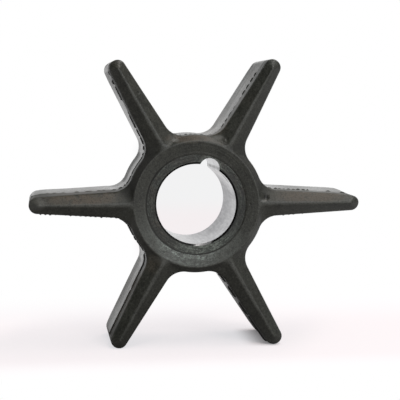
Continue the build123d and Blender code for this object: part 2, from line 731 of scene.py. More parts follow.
    def _polish(self, bench: ShaderBench, at: RubberPoint) -> Value:
        """How much smoother the flanks are than the ends.

        Args:
            bench: where nodes are added.
            at: what is read at the shaded point.

        Returns:
            A number to take off the roughness.
        """
        place = at.place
        along_vane = bench.vector(place.x * 0.12, place.y * 0.55, place.z * 0.12)
        streak = bench.noise(along_vane, self.gloss_streak)
        fine = bench.noise(place.spot, self.gloss_grain)
        shine = sum(sheen.added(place, at.normal_up) for sheen in self.sheens)
        return shine + 0.22 * (streak - 0.5) + 0.20 * (fine - 0.5)

    def _scuffs(
        self, bench: ShaderBench, at: RubberPoint, colour: bpy.types.NodeSocket
    ) -> bpy.types.NodeSocket:
        """The colour with a pale haze and bright scuffs low on each collar.

        Args:
            bench: where nodes are added.
            at: what is read at the shaded point.
            colour: what lies under the scuffs.

        Returns:
            The colour.
        """
        place = at.place
        inward = place.radius.rise(*self.inner_collar)
        patch = bench.noise(place.spot, self.haze_patch)
        along = bench.vector(place.radius * 2.6, place.turn * 9.0, 0.0)
        streak = bench.noise(along, self.scuff_streak)
        hazy = at.collar * self.hazy_side.mask(place) * inward.lifted(0.55)
        hazy = hazy * patch.rise(0.38, 0.60).lifted(0.45)
        colour = bench.mix(hazy, colour, self.haze)
        bright = at.collar * self.scuffed_side.mask(place)
        bright = bright * streak.rise(0.47, 0.60) * at.grain.rise(0.40, 0.58)
        return bench.mix(bright * (0.25 + 0.65 * inward), colour, self.scuffed)

    @staticmethod
    def _patches(place: Place, patches: Sequence[Patch]) -> Value:
        """Lay some soft patches over each other.

        Args:
            place: the shaded point.
            patches: where they are.

        Returns:
            Their mask, from 0 to 1.
        """
        masks = []
        for patch in patches:
            aside, above = (place.x - patch.x) / patch.wide, (place.z - patch.z) / patch.high
            masks.append((aside * aside + above * above).rise(1.0, 0.1) * patch.strength)
        return reduce(Value.larger, masks)

    def _pits(self, bench: ShaderBench, place: Place) -> Value:
        """Sink the pits.

        Args:
            bench: where nodes are added.
            place: the shaded point.

        Returns:
            Their mask: 0 outside them, and 1 at the bottom of the deepest.
        """
        deepest = max(pit.depth for pit in self.blemishes)
        masks = []
        for pit in self.blemishes:
            inside = bench.beside(place, pit.x, pit.z).rise(pit.radius, 0.0)
            masks.append(inside * (pit.depth / deepest))
        return reduce(Value.larger, masks)


@dataclass(frozen=True)
class BoreFinish(Finish):
    """Bright reamed bore and keyway, with painted shade at the right that deepens towards the back,
    along the keyway's right-hand wall too.
    """

    name: str = "reamed metal"
    bright: Colour = (0.640, 0.640, 0.650)
    # grey tone of machining lines, random streaks and painted shade
    dull_and_shade: Colour = (0.205, 0.202, 0.216)
    dark_spot_colour: Colour = (0.17, 0.17, 0.165)
    # painted shade for the keyway's right-hand wall
    stained: Colour = (0.10, 0.10, 0.10)
    keyway_wall_shade: Pair = (4.60, 6.88)
    keyway_wall_shade_edge: Pair = (0.42, 0.1)
    dark_spot: tuple[float, float, float] = (6.15, -6.4, 4.88)
    dark_spot_edge: Pair = (1.8, 0.4)
    # where the painted shade lies: a darker line, and the right-hand side, deeper towards the back
    dark_line: float = math.radians(9.0)
    dark_line_edge: Pair = (0.14, 0.04)
    shade_from: Pair = (math.radians(-125.0), math.radians(-45.0))
    shade_to: Pair = (math.radians(46.0), math.radians(14.0))
    shade_depth: Pair = (-6.0, 4.0)
    shade_slant: float = math.radians(1.0)
    roughness: float = 0.30
    lines: Grain = Grain(1.0, 3.0, 0.65)
    across: Grain = Grain(1.0, 2.0, 0.5)
    blotch: Grain = Grain(0.55, 4.0, 0.6, 0.5)

    def paint(self, bench: ShaderBench, place: Place) -> None:
        """Add the nodes of the bore.

        Args:
            bench: where nodes are added.
            place: the shaded point.
        """
        lines = bench.noise(bench.vector(place.turn * 2.0, place.y * 3.0, 0.0), self.lines)
        across = bench.noise(bench.vector(place.turn * 15.0, place.y * 0.20, 0.0), self.across)
        blotch = bench.noise(place.spot, self.blotch)
        uneven = blotch.rise(0.4, 0.6).lifted(0.6)
        # painted shade: darker at the right and deeper towards the back, plus a darker line; the
        # blotches and streaks are the metal's own
        slanted = place.turn - place.y * self.shade_slant
        right = place.turn.rise(*self.shade_from) * slanted.rise(*self.shade_to)
        darker = right * (0.52 + 0.40 * place.y.rise(*self.shade_depth))
        darker = darker + 0.20 * abs(place.turn - self.dark_line).rise(*self.dark_line_edge)
        darker = darker + 0.25 * (blotch - 0.5) + 0.9 * (across - 0.5)
        colour = bench.mix(darker, self.bright, self.dull_and_shade)
        colour = bench.mix(lines.rise(0.55, 0.8) * 0.3, colour, self.dull_and_shade)
        # a darker spot on the bore wall near the keyway
        spot = bench.apart(place.spot, self.dark_spot).rise(*self.dark_spot_edge) * uneven
        colour = bench.mix(spot * 0.85, colour, self.dark_spot_colour)
        # painted shade along the keyway's right-hand wall
        keyway_wall_shade = bench.beside(place, *self.keyway_wall_shade).rise(*self.keyway_wall_shade_edge)
        colour = bench.mix(keyway_wall_shade * uneven * 0.8, colour, self.stained)
        relief = bench.bump(lines, 0.004, 0.4)
        relief = bench.bump(blotch, 0.012, 0.3, relief)
        bench.surface(
            {"Metallic": 1.0},
            {
                "Base Color": colour,
                "Roughness": self.roughness + 0.2 * (blotch - 0.5) + 0.1 * lines,
                "Normal": relief,
            },
        )


@dataclass(frozen=True)
class FilmFinish(Finish):
    """Thin grainy film of rubber and bonding agent over the sleeve's end faces, with painted shade
    on its right-hand side.
    """

    name: str = "bonding film"
    dark: Colour = (0.010, 0.011, 0.010)
    pale: Colour = (0.070, 0.078, 0.066)
    brown: Colour = (0.058, 0.053, 0.044)
    scuffed: Colour = (0.185, 0.210, 0.185)
    mouth_edge: Pair = (8.42, 8.26)
    keyway: Pair = (2.61, 6.98)
    keyway_edge: Pair = (2.9, 2.1)
    low_side: Side = Side(-75, 0.55, 0.97)
    # painted shade on the film's right-hand side
    painted_shade_side: Side = Side(-22, 0.75, 0.98, 0.55)
    dark_mouth: Side = Side(15, 0.2, 0.75)
    roughness: float = 0.44
    grain: Grain = Grain(2.4, 3.0, 0.75)
    streak: Grain = Grain(1.0, 3.0, 0.7, 0.3)
    mottle: Grain = Grain(0.45, 3.0, 0.6)

    def paint(self, bench: ShaderBench, place: Place) -> None:
        """Add the nodes of the film.

        Args:
            bench: where nodes are added.
            place: the shaded point.
        """
        radius, turn = place.radius, place.turn
        grain = bench.noise(place.spot, self.grain)
        streak = bench.noise(bench.vector(radius * 3.0, turn * 3.6, 0.0), self.streak)
        mottle = bench.noise(place.spot, self.mottle)
        low = self.low_side.mask(place)
        light = streak.rise(0.42, 0.60).lifted(0.30) * grain.rise(0.40, 0.60).lifted(0.25)
        colour = bench.mix(mottle.rise(0.42, 0.62), self.pale, self.brown)
        colour = bench.mix(light, self.dark, colour)
        colour = bench.mix(low * light, colour, self.scuffed)
        # painted shade: darker on the right-hand side
        colour = bench.mix(self.painted_shade_side.mask(place), colour, self.dark)
        near_key = bench.beside(place, *self.keyway).rise(*self.keyway_edge)
        colour = bench.mix(near_key * grain.rise(0.35, 0.60) * 0.5, colour, self.scuffed)
        edge = radius.rise(*self.mouth_edge) * self.dark_mouth.mask(place)
        colour = bench.mix(edge, colour, self.dark)
        relief = bench.bump(grain + streak, 0.10, 1.0)
        bench.surface(
            {"Specular IOR Level": 0.5},
            {
                "Base Color": colour,
                "Roughness": self.roughness + 0.25 * (grain - 0.5),
                "Normal": relief,
            },
        )


@dataclass(frozen=True)
class MouthFinish(Finish):
    """Blackened chamfer round each mouth of the bore, bared by rubbing at the bottom."""

    name: str = "blackened chamfer"
    black: Colour = (0.004, 0.004, 0.004)
    grey: Colour = (0.016, 0.016, 0.015)
    bare: Colour = (0.50, 0.50, 0.51)
    bare_turn: float = math.radians(-84.0)
    bare_edge: Pair = (0.26, 0.12)
    grey_side: Side = Side(-150, 0.2, 0.8)
    ragged: Grain = Grain(0.8, 2.0, 0.6)
    roughness: float = 0.55
    bare_roughness: float = 0.35

    def paint(self, bench: ShaderBench, place: Place) -> None:
        """Add the nodes of the chamfer.

        Args:
            bench: where nodes are added.
            place: the shaded point.
        """
        uneven = bench.noise(place.spot, self.ragged)
        from_bare = abs(place.turn - self.bare_turn + 0.5 * (uneven - 0.5))
        bare = from_bare.rise(*self.bare_edge)
        colour = bench.mix(self.grey_side.mask(place), self.black, self.grey)
        colour = bench.mix(bare, colour, self.bare)
        roughness = between(self.roughness, self.bare_roughness, bare)
        bench.surface(
            {"Specular IOR Level": 0.12},
            {"Base Color": colour, "Metallic": bare, "Roughness": roughness},
        )


# ----------------------------------------------------------------------- mesh helpers
class RingMesh:
    """Collects rings of points and the faces between them, then makes one mesh."""

    def __init__(self) -> None:
        """Start with no points."""
        self.points: list[np.ndarray] = []
        self.count = 0
        self.faces: list[tuple[int, ...]] = []
        self.slots: list[int] = []
        self.marks: dict[str, list[np.ndarray]] = {"wear_and_highlight": [], "dark_and_painted_shade": []}

    def ring(
        self,
        points: np.ndarray,
        wear_and_highlight: Union[float, np.ndarray] = 0.0,
        dark_and_painted_shade: Union[float, np.ndarray] = 0.0,
    ) -> np.ndarray:
        """Add points.

        Args:
            points: one row of three millimetres for each point.
            wear_and_highlight: how much wear and painted highlight the rubber has there, from 0 to
                1.
            dark_and_painted_shade: how much painted shade there is, from 0 to 1: on the trimmed
                flash's cut faces, at the sleeve's seat and in the hub's bays.

        Returns:
            The points' numbers in the mesh.
        """
        first = self.count
        self.points.append(points)
        for name, given in (("wear_and_highlight", wear_and_highlight), ("dark_and_painted_shade", dark_and_painted_shade)):
            each = np.broadcast_to(np.asarray(given, float), (len(points),))
            self.marks[name].append(each.copy())
        self.count += len(points)
        return np.arange(first, self.count)

    def skin(self, one: np.ndarray, other: np.ndarray, slot: int = 0) -> None:
        """Join two closed rings of the same length with faces.

        Args:
            one: numbers of the first ring's points.
            other: numbers of the second ring's points.
            slot: the material slot of these faces.
        """
        for a, b, c, d in zip(one, other, np.roll(other, -1), np.roll(one, -1)):
            face = list(dict.fromkeys((int(a), int(b), int(c), int(d))))
            if len(face) > 2:
                self.faces.append(tuple(face))
                self.slots.append(slot)

    def build(self, name: str, materials: Sequence[bpy.types.Material]) -> bpy.types.Object:
        """Make the object.

        Args:
            name: the piece's name.
            materials: one for each material slot.

        Returns:
            The new object, smooth all over except at sharp edges.
        """
        mesh = bpy.data.meshes.new(name)
        mesh.from_pydata((np.concatenate(self.points) * MM).tolist(), [], self.faces)
        mesh.polygons.foreach_set("material_index", self.slots)
        mesh.polygons.foreach_set("use_smooth", [True] * len(self.faces))
        for mark, values in self.marks.items():
            attribute = mesh.attributes.new(mark, "FLOAT", "POINT")
            attribute.data.foreach_set("value", np.concatenate(values).astype(np.float32))
        for material in materials:
            mesh.materials.append(material)
        mesh.validate()
        mesh.set_sharp_from_angle(angle=SHARP_EDGE)
        piece = bpy.data.objects.new(name, mesh)
        bpy.context.scene.collection.objects.link(piece)
        return piece


def curve_between(
    start: Sequence[float], corner: Sequence[float], end: Sequence[float], steps: int
) -> list[np.ndarray]:
    """Round a corner.

    Args:
        start: where the rounding leaves the first side.
        corner: where the two sides would meet.
        end: where the rounding joins the second side.
        steps: how many points are given after start.

    Returns:
        Points from start to end.
    """
    a, b, c = (np.array(point, float) for point in (start, corner, end))
    shares = np.linspace(0, 1, steps + 1)
    return [(1 - t) ** 2 * a + 2 * t * (1 - t) * b + t * t * c for t in shares]


def depths(points: np.ndarray) -> np.ndarray:
    """How far back each point is, along the bore."""
    return points[:, 1]


def radii(points: np.ndarray) -> np.ndarray:
    """How far each point is from the bore's axis."""
    return np.hypot(points[:, 0], points[:, 2])


# ------------------------------------------------------------------ rubber moulding
@dataclass(frozen=True)
class Ribs:
    """The shape of trimmed flash: its ribs' length, gap, height, unevenness and darkness, which is
    painted shade on their cut faces.
    """

    rib: float
    gap: float
    height: float
    uneven: float
    dark: float


class FlashStyle(Enum):
    """How trimmed flash is left, from a long dark line to a hardly visible trace."""

    LINE = Ribs(6.0, 0.05, 0.30, 0.2, 0.90)
    SHADE = Ribs(6.0, 0.05, 0.36, 0.2, 0.80)
    TALL = Ribs(1.9, 0.12, 0.29, 0.3, 0.62)
    DASH = Ribs(0.82, 0.60, 0.23, 0.2, 0.85)
    DOTS = Ribs(0.50, 0.48, 0.30, 0.3, 0.95)
    TEETH = Ribs(0.50, 0.50, 0.17, 0.4, 0.60)
    HAIR = Ribs(2.4, 0.25, 0.16, 0.3, 0.80)
    FRINGE = Ribs(0.60, 0.38, 0.42, 0.2, 0.60)
    FAINT = Ribs(0.90, 0.40, 0.12, 0.3, 0.80)
    TRACE = Ribs(0.45, 1.1, 0.09, 0.5, 0.50)


@dataclass(frozen=True)
class Flash:
    """One run of flash, measured along a flank from the end of its vane."""

    start: float
    end: float
    style: FlashStyle


@dataclass(frozen=True)
class VaneSet:
    """How one vane stands off its drawn place, and the flash and swell of its two flanks.

    The sets go round from the right-hand vane upwards, and on that way round one flank comes
    before a vane's middle and the other after it.
    """

    sideways_front: float
    sideways_back: float
    short: float
    flash_before: tuple[Flash, ...]
    flash_after: tuple[Flash, ...]
    swell_before: float = 0.0
    swell_after: float = 0.0


VANE_SETS = (
    # right
    VaneSet(
        -0.06, 0.02, 0.0,
        (Flash(6.0, 11.0, FlashStyle.TRACE), Flash(11.3, 16.3, FlashStyle.FRINGE)),
        (
            Flash(3.0, 3.9, FlashStyle.DASH),
            Flash(6.1, 6.8, FlashStyle.DASH),
            Flash(10.4, 12.8, FlashStyle.DOTS),
            Flash(13.2, 13.7, FlashStyle.TEETH),
            Flash(14.2, 14.8, FlashStyle.DASH),
            Flash(15.2, 16.6, FlashStyle.TEETH),
            Flash(16.9, 17.5, FlashStyle.DOTS),
            Flash(18.0, 24.0, FlashStyle.TEETH),
        ),
    ),
    # upper right
    VaneSet(
        0.12, 0.12, 0.29,
        (Flash(6.0, 24.0, FlashStyle.TRACE),),
        (
            Flash(4.9, 10.3, FlashStyle.DASH),
            Flash(10.7, 14.0, FlashStyle.TRACE),
            Flash(14.2, 17.9, FlashStyle.FAINT),
            Flash(18.4, 24.5, FlashStyle.TRACE),
        ),
    ),
    # upper left
    VaneSet(
        -0.16, -0.02, 0.39,
        (Flash(18.0, 24.5, FlashStyle.TEETH),),
        (
            Flash(2.3, 3.5, FlashStyle.FAINT),
            Flash(4.2, 5.1, FlashStyle.TALL),
            Flash(5.8, 8.7, FlashStyle.TALL),
            Flash(11.3, 11.8, FlashStyle.TEETH),
            Flash(12.0, 15.0, FlashStyle.TALL),
            Flash(15.3, 18.5, FlashStyle.TALL),
            Flash(18.9, 20.8, FlashStyle.DASH),
            Flash(21.0, 24.5, FlashStyle.HAIR),
        ),
    ),
    # left
    VaneSet(
        -0.06, -0.10, 0.0,
        (
            Flash(1.3, 2.2, FlashStyle.TEETH),
            Flash(4.4, 9.0, FlashStyle.TRACE),
            Flash(10.1, 10.8, FlashStyle.FAINT),
            Flash(12.2, 13.6, FlashStyle.FAINT),
            Flash(14.4, 16.6, FlashStyle.FAINT),
            Flash(17.4, 18.1, FlashStyle.FAINT),
            Flash(18.8, 20.4, FlashStyle.DASH),
            Flash(20.6, 24.5, FlashStyle.HAIR),
        ),
        (Flash(3.0, 18.5, FlashStyle.FRINGE), Flash(18.8, 24.5, FlashStyle.TALL)),
        swell_before=0.34,
    ),
    # lower left
    VaneSet(
        0.10, 0.12, 0.21,
        (
            Flash(2.3, 12.3, FlashStyle.LINE),
            Flash(12.6, 19.0, FlashStyle.LINE),
            Flash(19.0, 20.1, FlashStyle.TALL),
            Flash(20.8, 24.5, FlashStyle.TALL),
        ),
        (Flash(8.0, 16.0, FlashStyle.TRACE),),
        swell_before=0.08,
    ),
    # lower right
    VaneSet(
        0.10, 0.05, 0.21,
        (
            Flash(1.5, 7.9, FlashStyle.LINE),
            Flash(8.5, 11.5, FlashStyle.SHADE),
            Flash(12.9, 15.6, FlashStyle.SHADE),
            Flash(16.6, 18.9, FlashStyle.SHADE),
        ),
        (Flash(10.0, 20.0, FlashStyle.TRACE),),
    ),
)


ARC_POINTS = 40
FILLET_POINTS = 49
END_CROWD = 0.3


@dataclass(frozen=True)
class Outline:
    """One closed outline of hub and vanes at a height of the end roof."""

    hub: float
    fillet: float
    tip_end: float
    tip: float
    lean: float

    def half(self, along_steps: int, hub_steps: int) -> np.ndarray:
        """Points from the end of a vane down one flank to midway along the hub.

        Args:
            along_steps: steps from the vane's end to the middle of its root fillet.
            hub_steps: steps from there to the middle of the hub between two vanes.

        Returns:
            Rows of (along, across), in millimetres.
        """
        normal = np.array((math.sin(self.lean), math.cos(self.lean)))
        tip_centre = self.tip_end - self.tip
        offset = self.tip + tip_centre * math.sin(self.lean) + self.fillet
        reach = math.sqrt((self.hub + self.fillet) ** 2 - offset**2)
        flank = np.array((math.cos(self.lean), -math.sin(self.lean)))
        centre = normal * offset + flank * reach
        inward = centre / np.linalg.norm(centre)

        tip_angles = np.linspace(0, math.pi / 2 - self.lean, ARC_POINTS)
        tip_arc = np.stack((np.cos(tip_angles), np.sin(tip_angles)), 1) * self.tip
        tip_arc[:, 0] += tip_centre
        turn = math.acos(float(np.clip(normal @ inward, -1, 1)))
        shares = np.linspace(0, 1, FILLET_POINTS)[:, None]
        blend = np.sin((1 - shares) * turn) * normal + np.sin(shares * turn) * inward
        fillet_arc = centre - self.fillet * blend / math.sin(turn)
        hub_angles = np.linspace(math.atan2(inward[1], inward[0]), VANE_STEP / 2, ARC_POINTS)
        hub_arc = self.hub * np.stack((np.cos(hub_angles), np.sin(hub_angles)), 1)

        middle = len(shares) // 2
        outer = np.concatenate((tip_arc, fillet_arc[: middle + 1]))
        outer = self._even(outer, along_steps, END_CROWD)
        inner = self._even(np.concatenate((fillet_arc[middle:], hub_arc)), hub_steps, 0.0)
        return np.concatenate((outer, inner[1:]))

    @staticmethod
    def _even(path: np.ndarray, steps: int, crowd: float) -> np.ndarray:
        """Space points along a path.

        Args:
            path: close points along it.
            steps: how many steps the new points make.
            crowd: how much closer they stand at both ends, from 0 to 1.

        Returns:
            The new points.
        """
        lengths = np.concatenate(([0], np.cumsum(np.linalg.norm(np.diff(path, axis=0), axis=1))))
        share = np.linspace(0, 1, steps + 1)
        share = share - crowd * np.sin(2 * math.pi * share) / (2 * math.pi)
        wanted = share * lengths[-1]
        return np.stack([np.interp(wanted, lengths, path[:, k]) for k in (0, 1)], 1)


@dataclass(frozen=True)
class Crest:
    """The crest at one end: its points' numbers, the loop round the rim, and that loop's spokes."""

    numbers: np.ndarray
    loop: np.ndarray
    spokes: np.ndarray


@dataclass
class RubberMoulding:
    """Six tapered vanes on a hub, with gabled ends and a dished collar round the sleeve.

    A share is a share of the way in from the eaves to the crest. The pairs of draft, wear
    and painted shade say where each starts and where it is full: by share, by depth, by radius,
    along the vane, or by the distance to the vane's end.
    """

    hub_radius: float = 13.55
    rim_radius: float = 12.32
    vane_end: float = 32.63
    crest_setback: float = 2.0
    tip_round: float = 1.65
    flank_lean: float = math.radians(3.4)
    root_fillet: float = 4.0
    crest_fillet: float = 1.3
    fillet_shrink: float = 5.0
    fillet_close: int = 14
    half_body: float = 8.9
    half_width: float = 10.3
    eaves_round: float = 0.35
    eaves_steps: int = 7
    slope_from: float = 0.17
    slope_to: float = 0.79
    slope_rows: int = 10
    crest_from: float = 0.88
    crest_flat_from: float = 0.97
    collar_land: float = 12.20
    land_round: float = 0.1
    dish_shares: Rows = (0.2, 0.3, 0.4, 0.5, 0.6, 0.7, 0.8, 0.9)
    dish_from: float = 0.12
    lip_to_seat: float = 0.55
    lip_steps: int = 5
    lip_outer: float = 10.0
    lip_top: float = 9.9
    lip_highlight_to: float = 10.3
    seat_radius: float = 9.7
    seat_depth: float = 9.75
    seat_tuck: float = 0.4
    flash_line: float = -4.9
    flash_profile: tuple[Pair, ...] = ((0.45, 0), (0.15, 0), (0.08, 0.85))
    front_rows: Rows = (-8.3, -7.6, -6.6, -5.8)
    back_rows: Rows = (-3.4, -1.5, 0.5, 3.0, 5.5, 7.3, 8.3)
    rib_end: float = 0.14
    rib_tallest: float = 1.05
    dark_height: float = 0.1
    draft: float = 0.10
    draft_to_end: Pair = (0.4, 3.4)
    swell_back: float = 0.5
    swell_fade: tuple[Pair, ...] = ((0.8, 0.0), (3.3, 1.0), (9.0, 0.5), (16.5, 0.5), (20.0, 0.0))
    bend_from: float = 14.0
    bend_power: float = 1.6
    bend_shortens: float = 0.5
    tip_wear: float = 0.30
    tip_wear_along: Pair = (28.0, 31.5)
    tip_wear_depth: Pair = (6.0, -4.0)
    crest_wear: Pair = (0.80, 0.92)
    crest_wear_to_end: Pair = (2.0, 10.0)
    least_end_wear: float = 0.25
    rim_rows: int = 3
    least_rim_wear: float = 0.30
    # painted highlights on the rim: most at the lower left, less at the upper right
    low_rim_highlight: Side = Side(-115, strength=0.90)
    high_rim_highlight: Side = Side(50, strength=0.50)
    # a painted highlight along the lip's lower left
    low_lip_highlight: Side = Side(-115, -0.1, 0.9)
    low_lip_highlight_strength: float = 0.9
    low_lip_power: float = 0.6
    lip_by_keyway: Side = Side(75, 0.7, 0.9, 0.9)
    # painted shade at the sleeve's seat, least at the upper right
    least_seat_shade: float = 0.1
    seat_shade_side: Side = Side(-140, -0.35, 0.15, 0.8)
    # painted shade on the hub's bevel, in two bays between vanes
    shaded_bays: tuple[Side, ...] = (Side(30, 0.86, 0.96, 0.45), Side(150, 0.86, 0.96, 0.8))
    bay_shade_radius: Pair = (16.05, 14.05)
    along_steps: int = 74
    hub_steps: int = 18
    vanes: tuple[VaneSet, ...] = VANE_SETS
    finish: RubberFinish = field(default_factory=RubberFinish)

    def outline(self, share: float) -> Outline:
        """Find one outline.

        Args:
            share: how far in it is.

        Returns:
            The outline.
        """
        fillet = (self.root_fillet - self.crest_fillet) * math.exp(-self.fillet_shrink * share)
        fillet += self.crest_fillet * (1 - share**self.fillet_close)
        return Outline(
            between(self.hub_radius, self.rim_radius, share),
            fillet if share < 1 else 0.0,
            self.vane_end - share * self.crest_setback,
            self.tip_round * (1 - share),
            self.flank_lean * (1 - share),
        )

    def roof_profile(self) -> list[np.ndarray]:
        """The end roof from the straight sides up to its crest.

        Returns:
            The share of the way in, and the height over the straight sides, of each row.
        """
        top = self.half_width - self.half_body
        slope = np.array((1, top / self.crest_from))
        steps = self.eaves_steps
        eaves = curve_between((0, -self.eaves_round), (0, 0), self.slope_from * slope, steps)
        shares = np.linspace(self.slope_from, self.slope_to, self.slope_rows)
        sloping = [share * slope for share in shares]
        flat = (self.crest_flat_from, top)
        crest = curve_between(sloping[-1], (self.crest_from, top), flat, steps)
        return eaves + sloping[1:] + crest[1:]

    def full_ring(self, share: float, y: float) -> np.ndarray:
        """All the points of one outline, vane by vane.

        Args:
            share: how far in the outline is.
            y: the depth along the bore.

        Returns:
            Rows of three millimetres.
        """
        half = self.outline(share).half(self.along_steps, self.hub_steps)
        before = half[:0:-1] * (1, -1)
        flat = np.concatenate((before, half[:-1]))
        return np.concatenate([self._turned(flat, i, y) for i in range(VANE_COUNT)])

    @staticmethod
    def _turned(flat: np.ndarray, vane: int, y: float) -> np.ndarray:
        """Turn a vane into its place.

        Args:
            flat: points along and across it.
            vane: its number.
            y: the depth along the bore.

        Returns:
            Rows of three millimetres.
        """
        c, s = math.cos(vane * VANE_STEP), math.sin(vane * VANE_STEP)
        along, across = flat[:, 0], flat[:, 1]
        return np.stack((along * c - across * s, np.full(len(flat), y), along * s + across * c), 1)

    def trimmings(self, ring: np.ndarray) -> tuple[np.ndarray, np.ndarray, np.ndarray]:
        """What stands out of the straight sides at each point.

        Args:
            ring: the outline's points.

        Returns:
            The height of the trimmed flash, the painted shade on its cut face, and how far the
            flank swells towards the parting line, for each point.
        """
        rng = np.random.default_rng(20)
        steps = self.along_steps + self.hub_steps
        closed = np.vstack((ring, ring[:1]))
        found = []
        for i, vane in enumerate(self.vanes):
            sides = ((vane.flash_before, vane.swell_before), (vane.flash_after, vane.swell_after))
            for side, (runs, swell) in enumerate(sides):
                first = (2 * i + side) * steps
                walk = closed[first : first + steps + 1]
                if side == 0:
                    walk = walk[::-1]
                gaps = np.linalg.norm(np.diff(walk, axis=0), axis=1)
                along = np.concatenate(([0], np.cumsum(gaps)))
                height, dark = np.zeros(len(along)), np.zeros(len(along))
                for run in runs:
                    ribs = self._ribs(along, run, rng)
                    height = np.maximum(height, ribs)
                    shown = ramp(ribs, 0, self.dark_height)
                    # painted shade on the flash's cut faces
                    dark = np.maximum(dark, run.style.value.dark * shown)
                fade = np.interp(along, *zip(*self.swell_fade))
                rows = np.stack((height, dark, swell * fade))
                found.append(rows[:, :0:-1] if side == 0 else rows[:, :-1])
        height, dark, swelling = np.concatenate(found, axis=1)
        return height, dark, swelling

    def _ribs(self, along: np.ndarray, run: Flash, rng: np.random.Generator) -> np.ndarray:
        """Ribs and gaps of one run of flash.

        Args:
            along: how far each point is from the vane's end.
            run: where the run is, and its style.
            rng: where the unevenness comes from.

        Returns:
            One height for each point.
        """
        style = run.style.value
        least, most = 1 - style.uneven, 1 + style.uneven
        heights = np.zeros(len(along))
        at = run.start
        while at < run.end:
            end = min(at + style.rib * rng.uniform(least, most), run.end)
            from_ends = np.minimum(along - at, end - along)
            inside = ramp(from_ends, -self.rib_end / 2, self.rib_end / 2)
            tall = style.height * rng.uniform(least, self.rib_tallest)
            heights = np.maximum(heights, inside * tall)
            at = end + style.gap * rng.uniform(least, most)
        return heights

    def side_rows(self) -> list[Pair]:
        """Rows down the straight sides, close together where the flash is.

        Returns:
            The depth of each row, and its share of the flash's height.
        """
        flash = [(self.flash_line - away, height) for away, height in self.flash_profile]
        flash += [(self.flash_line, 1)]
        flash += [(self.flash_line + away, height) for away, height in self.flash_profile[::-1]]
        front, back = ([(y, 0) for y in rows] for rows in (self.front_rows, self.back_rows))
        return front + flash + back

    def thicken(
        self, points: np.ndarray, outward: np.ndarray, share: float, swelling: np.ndarray
    ) -> np.ndarray:
        """Give the flanks their draft, and some of them a swell at the parting line.

        Args:
            points: one row of the outline.
            outward: the way out of the rubber at each point.
            share: how far in the row is.
            swelling: how far each point stands out at the parting line.

        Returns:
            The moved points.
        """
        fade = ramp(self.vane_end - radii(points), *self.draft_to_end)
        back = ramp(depths(points), -self.half_body, self.half_body)
        ends = (-self.half_body, self.flash_line, self.half_body)
        swell = swelling * np.interp(depths(points), ends, (0.0, 1.0, self.swell_back))
        return points + outward * ((self.draft * fade * back + swell) * (1 - share))[:, None]

    def wear_tip(self, points: np.ndarray) -> np.ndarray:
        """Take off the corner lost to wear at the end of the first vane, most of it at the front.

        Args:
            points: rows of three millimetres.

        Returns:
            The moved points.
        """
        along, across = points[:, 0], points[:, 2]
        lost = ramp(along, *self.tip_wear_along) * ramp(across, 0, self.tip_round)
        moved = points.copy()
        moved[:, 2] -= self.tip_wear * lost * ramp(depths(points), *self.tip_wear_depth)
        return moved

    def bend(self, points: np.ndarray) -> np.ndarray:
        """Stand each vane where it really is, a little off its drawn place.

        Args:
            points: rows of three millimetres.

        Returns:
            The moved points.
        """
        angles = np.arctan2(points[:, 2], points[:, 0])
        nearest = np.round(angles / VANE_STEP).astype(int) % VANE_COUNT
        ease = ramp(radii(points), self.bend_from, self.vane_end) ** self.bend_power
        back = ramp(depths(points), -self.half_width, self.half_width)
        table = np.array([(v.sideways_front, v.sideways_back, v.short) for v in self.vanes])
        mine = table[nearest]
        sideways = between(mine[:, 0], mine[:, 1], back) * ease
        shorter = (mine[:, 2] + self.bend_shortens * np.abs(sideways)) * ease
        turn = nearest * VANE_STEP
        moved = points.copy()
        moved[:, 0] += -np.sin(turn) * sideways - np.cos(turn) * shorter
        moved[:, 2] += np.cos(turn) * sideways - np.sin(turn) * shorter
        return moved

    def inner_rows(self) -> list[np.ndarray]:
        """Rows from the rim down the dished collar to the sleeve's seat.

        Returns:
            Radius and half depth of each row, in millimetres.
        """
        top = np.array((self.collar_land, self.half_width))
        low = np.array((self.lip_outer, self.lip_top))
        seat = np.array((self.seat_radius, self.seat_depth))
        slope, steps = low - top, self.lip_steps
        land = curve_between(top + (self.land_round, 0), top, top + self.dish_from * slope, steps)
        dish = [top + share * slope for share in self.dish_shares]
        lip = curve_between(dish[-1], low, between(low, seat, self.lip_to_seat), steps)
        return [*land, *dish, *lip[1:], seat, seat - (0, self.seat_tuck)]

    def build(self) -> bpy.types.Object:
        """Make the moulding.

        Returns:
            The object, with its finish.
        """
        mesh = RingMesh()
        crests = {end: self._crest(mesh, end) for end in ENDS}
        straight = self.full_ring(0.0, 0.0)
        ahead = np.roll(straight, -1, 0) - np.roll(straight, 1, 0)
        outward = np.stack((ahead[:, 2], np.zeros(len(ahead)), -ahead[:, 0]), 1)
        outward /= np.linalg.norm(outward, axis=1)[:, None]
        flash, dark, swelling = self.trimmings(straight)

        previous = crests[-1].numbers
        for points, share, dark_and_painted_shade in self._rows(straight, outward, flash, dark):
            points = self.wear_tip(self.thicken(points, outward, share, swelling))
            numbers = mesh.ring(self.bend(points), self._wear_and_highlight(points, share), dark_and_painted_shade)
            mesh.skin(previous, numbers)
            previous = numbers
        mesh.skin(previous, crests[1].numbers)

        seats = {end: self._collar(mesh, end, crests[end]) for end in ENDS}
        mesh.skin(seats[1], seats[-1])
        return mesh.build("rubber_moulding", [self.finish.material()])

